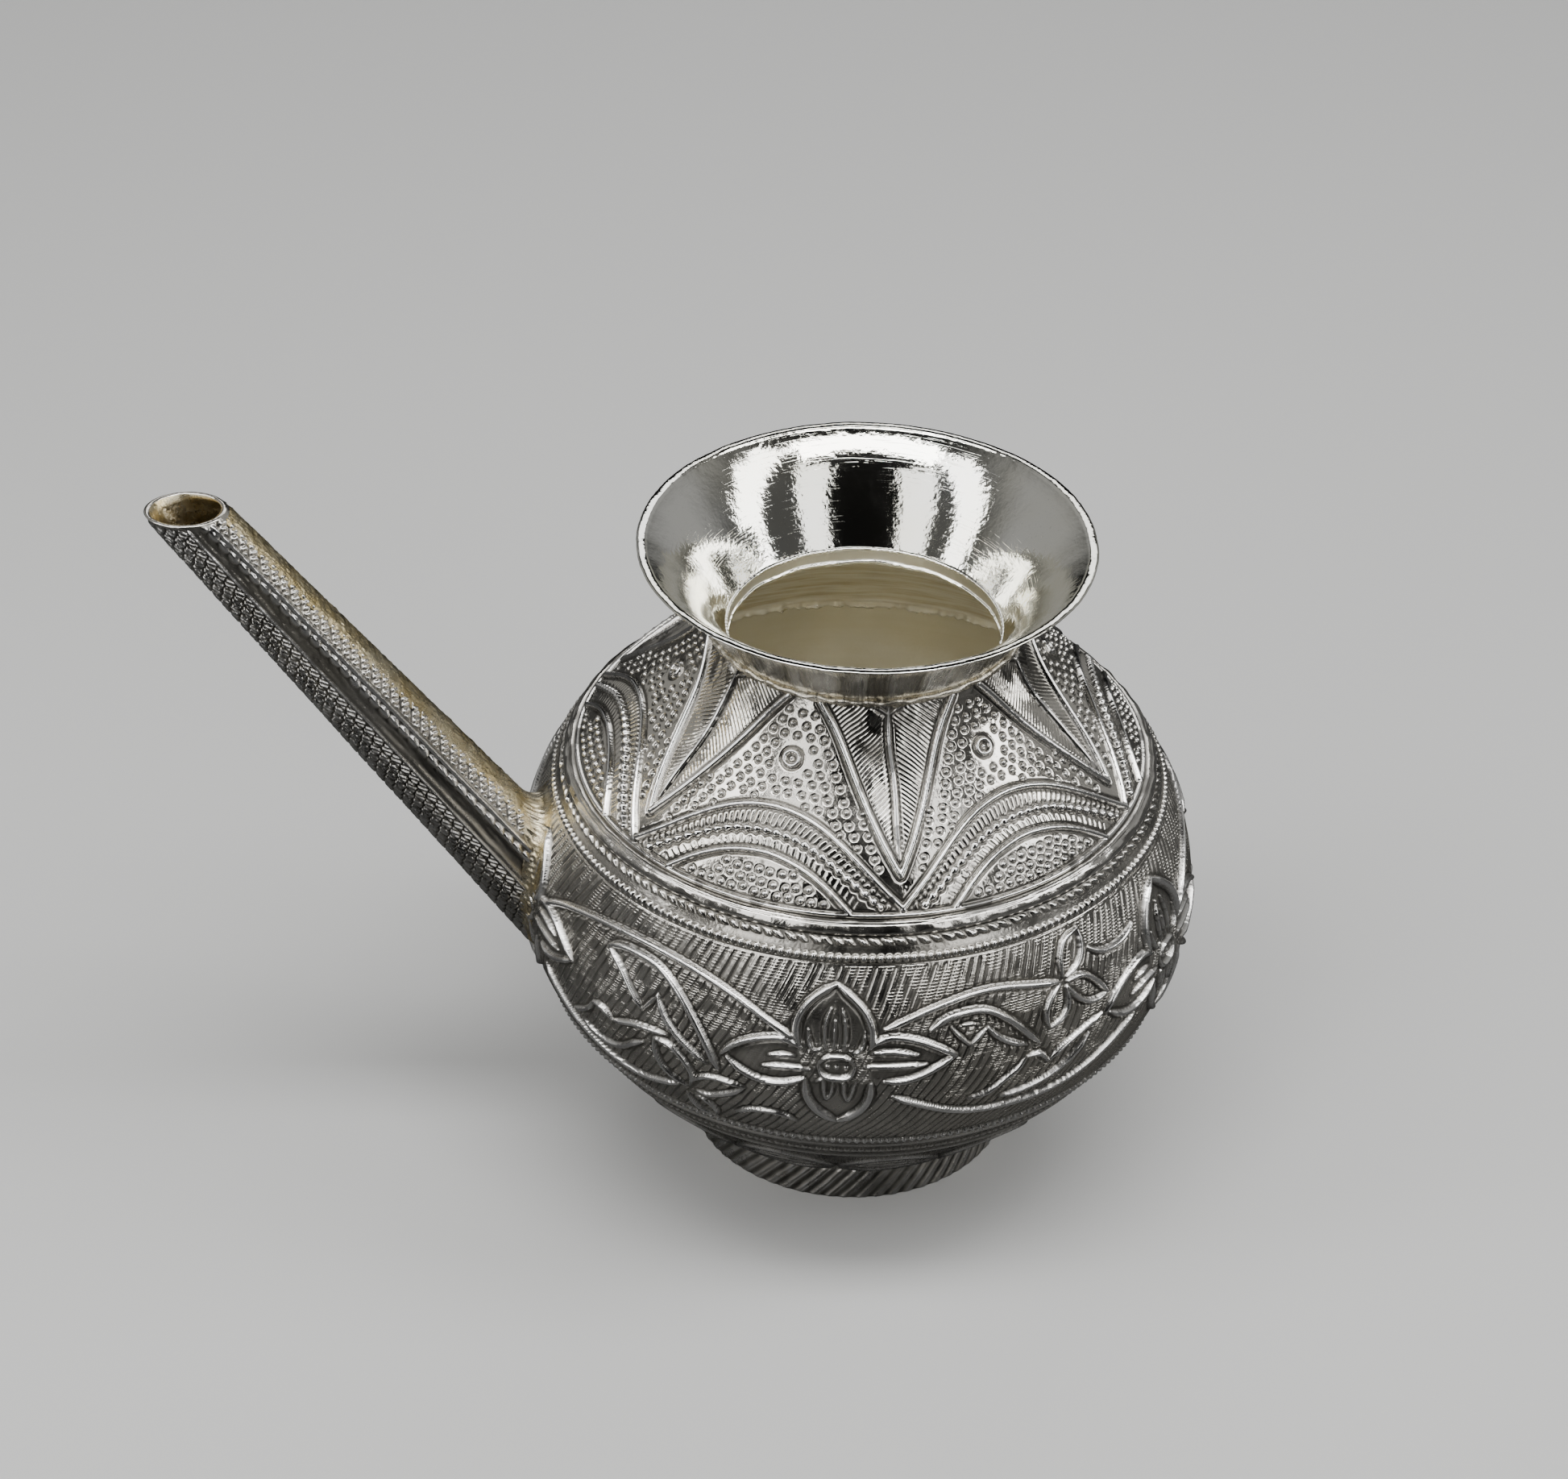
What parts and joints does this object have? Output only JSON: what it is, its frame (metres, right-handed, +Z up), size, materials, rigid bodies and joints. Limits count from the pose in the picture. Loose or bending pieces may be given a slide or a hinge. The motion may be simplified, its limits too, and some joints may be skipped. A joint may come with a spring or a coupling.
{
  "type": "spouted kalash pot",
  "caption": "Small round-bellied silver kalash pot with a flared mouth, foot ring and one long straight pouring spout, chased all over.",
  "frame": {"origin": "centre of the foot ring's resting face", "axes": "+Z up along the pot's axis; the spout leaves towards -X; Y is across"},
  "size_m": [0.1334, 0.088, 0.0995],
  "materials": {
    "chased_silver": "silver sheet, chased and hatched all over, bright ridges and dark recesses",
    "belt_silver": "silver strip with a smooth band, a rope ridge and a beaded ridge",
    "polished_silver": "hand polished silver with fine scratches",
    "foot_silver": "silver strip with coarse slanting hatch",
    "spout_silver": "silver sheet rolled to a tube, punched in rows",
    "solder": "silver solder, slightly yellow, lumpy"
  },
  "bodies": {
    "root": {"lower_bowl": "chased_silver", "shoulder_shell": "chased_silver", "belt_band": "belt_silver", "flared_mouth": "polished_silver", "neck_solder": "solder", "foot_ring": "foot_silver", "spout_tube": "spout_silver", "spout_solder": "solder", "spout_seam": "solder"}
  },
  "joints": []
}
